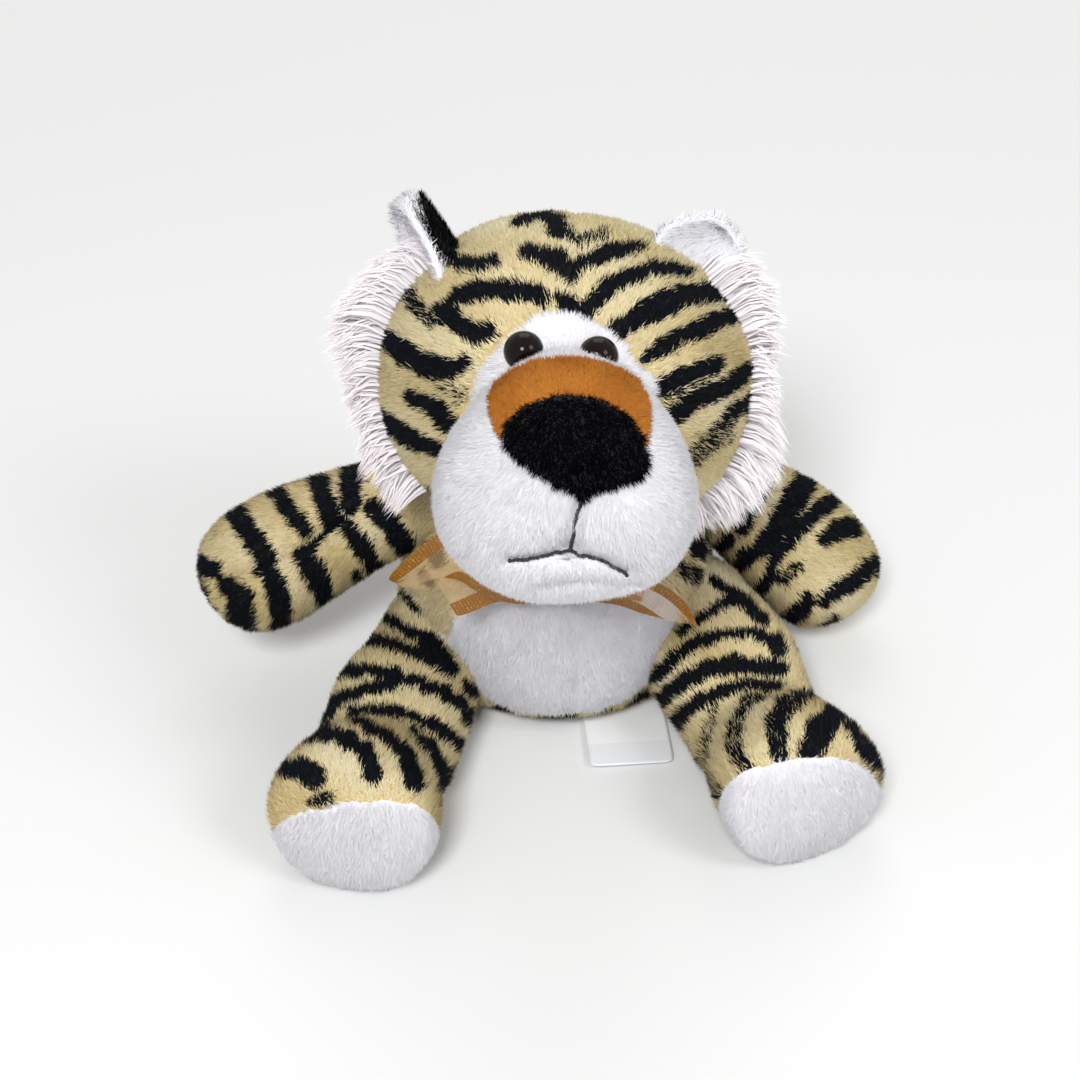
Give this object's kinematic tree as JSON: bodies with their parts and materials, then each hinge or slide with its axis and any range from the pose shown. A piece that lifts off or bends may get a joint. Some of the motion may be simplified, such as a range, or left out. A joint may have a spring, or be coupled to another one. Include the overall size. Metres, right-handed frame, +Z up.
{
  "type": "plush tiger",
  "caption": "Seated plush tiger with striped cloth, a turning head, swinging arms, raising legs, folding ears, a curled tail and a sheer ribbon bow.",
  "frame": {"origin": "on the floor, under the middle of the seat", "axes": "+Z up, -Y the way the tiger faces, +X its left hand"},
  "size_m": [0.1762, 0.181, 0.1346],
  "materials": {
    "striped_plush": "short sandy pile printed with near-black stripes",
    "white_plush": "short white pile",
    "orange_plush": "short orange pile",
    "black_plush": "short black pile",
    "long_pile": "long white pile with faintly pink tips",
    "wadding": "polyester fibre",
    "pellets": "a pouch of small plastic pellets, as one solid",
    "thread": "black embroidery thread",
    "ribbon": "sheer ribbon with satin edges",
    "label_tape": "thin woven tape, blank",
    "eye_plastic": "polished dark brown",
    "washer_plastic": "moulded"
  },
  "bodies": {
    "torso": {"torso_cover": "striped_plush", "belly_panel": "white_plush", "torso_stuffing": "wadding", "seat_bean_pouch": "pellets", "care_label": "label_tape", "ribbon_collar": "ribbon", "bow_knot": "ribbon", "bow_loop_left": "ribbon", "bow_loop_right": "ribbon", "ribbon_tail_left": "ribbon", "ribbon_tail_right": "ribbon"},
    "neck": {"neck_stuffing": "wadding"},
    "head": {"head_cover": "striped_plush", "head_stuffing": "wadding", "face_panel": "white_plush", "nose": "black_plush", "nose_bridge": "orange_plush", "mouth_stitch": "thread", "eye_left": "eye_plastic", "eye_right": "eye_plastic", "eye_washer_left": "washer_plastic", "eye_washer_right": "washer_plastic", "ruff_left": "long_pile", "ruff_right": "long_pile"},
    "ear_left": {"ear_front_left": "white_plush", "ear_back_left": "black_plush"},
    "ear_right": {"ear_front_right": "white_plush", "ear_back_right": "black_plush"},
    "arm_left": {"arm_cover_left": "striped_plush", "arm_stuffing_left": "wadding"},
    "arm_right": {"arm_cover_right": "striped_plush", "arm_stuffing_right": "wadding"},
    "leg_left": {"leg_cover_left": "striped_plush", "sole_left": "white_plush", "leg_stuffing_left": "wadding"},
    "leg_right": {"leg_cover_right": "striped_plush", "sole_right": "white_plush", "leg_stuffing_right": "wadding"},
    "tail": {"tail_cover": "striped_plush", "tail_stuffing": "wadding"}
  },
  "joints": [
    {"name": "head_turn", "type": "hinge", "parent": "torso", "child": "neck", "pos_m": [0, -0.004, 0.055], "axis": [0, 0, 1], "range_deg": [-25, 25], "stiffness_Nm_per_rad": 0.8},
    {"name": "head_nod", "type": "hinge", "parent": "neck", "child": "head", "pos_m": [0, -0.004, 0.055], "axis": [-1, 0, 0], "range_deg": [-10, 8], "stiffness_Nm_per_rad": 2.5},
    {"name": "arm_left_swing", "type": "hinge", "parent": "torso", "child": "arm_left", "pos_m": [0.031, 0.008, 0.046], "axis": [0, -1, 0], "range_deg": [0, 26], "stiffness_Nm_per_rad": 0.5},
    {"name": "arm_right_swing", "type": "hinge", "parent": "torso", "child": "arm_right", "pos_m": [-0.031, 0.008, 0.046], "axis": [0, 1, 0], "range_deg": [-10, 14], "stiffness_Nm_per_rad": 0.5},
    {"name": "leg_left_raise", "type": "hinge", "parent": "torso", "child": "leg_left", "pos_m": [0.034, -0.014, 0.0165], "axis": [-0.9636, -0.2672, 0], "range_deg": [0, 12], "stiffness_Nm_per_rad": 0.5},
    {"name": "leg_right_raise", "type": "hinge", "parent": "torso", "child": "leg_right", "pos_m": [-0.034, -0.014, 0.0165], "axis": [-0.9397, 0.342, 0], "range_deg": [0, 12], "stiffness_Nm_per_rad": 0.5},
    {"name": "ear_left_flop", "type": "hinge", "parent": "head", "child": "ear_left", "pos_m": [0.0303, -0.00427, 0.11984], "axis": [0.6932, -0.36, -0.6244], "range_deg": [-20, 20], "stiffness_Nm_per_rad": 0.03},
    {"name": "ear_right_flop", "type": "hinge", "parent": "head", "child": "ear_right", "pos_m": [-0.02454, 0.00175, 0.12331], "axis": [0.8267, 0.1934, 0.5283], "range_deg": [-20, 20], "stiffness_Nm_per_rad": 0.03},
    {"name": "tail_swing", "type": "hinge", "parent": "torso", "child": "tail", "pos_m": [0, 0.035, 0.008], "axis": [0, 0, 1], "range_deg": [-20, 20], "stiffness_Nm_per_rad": 0.05}
  ]
}
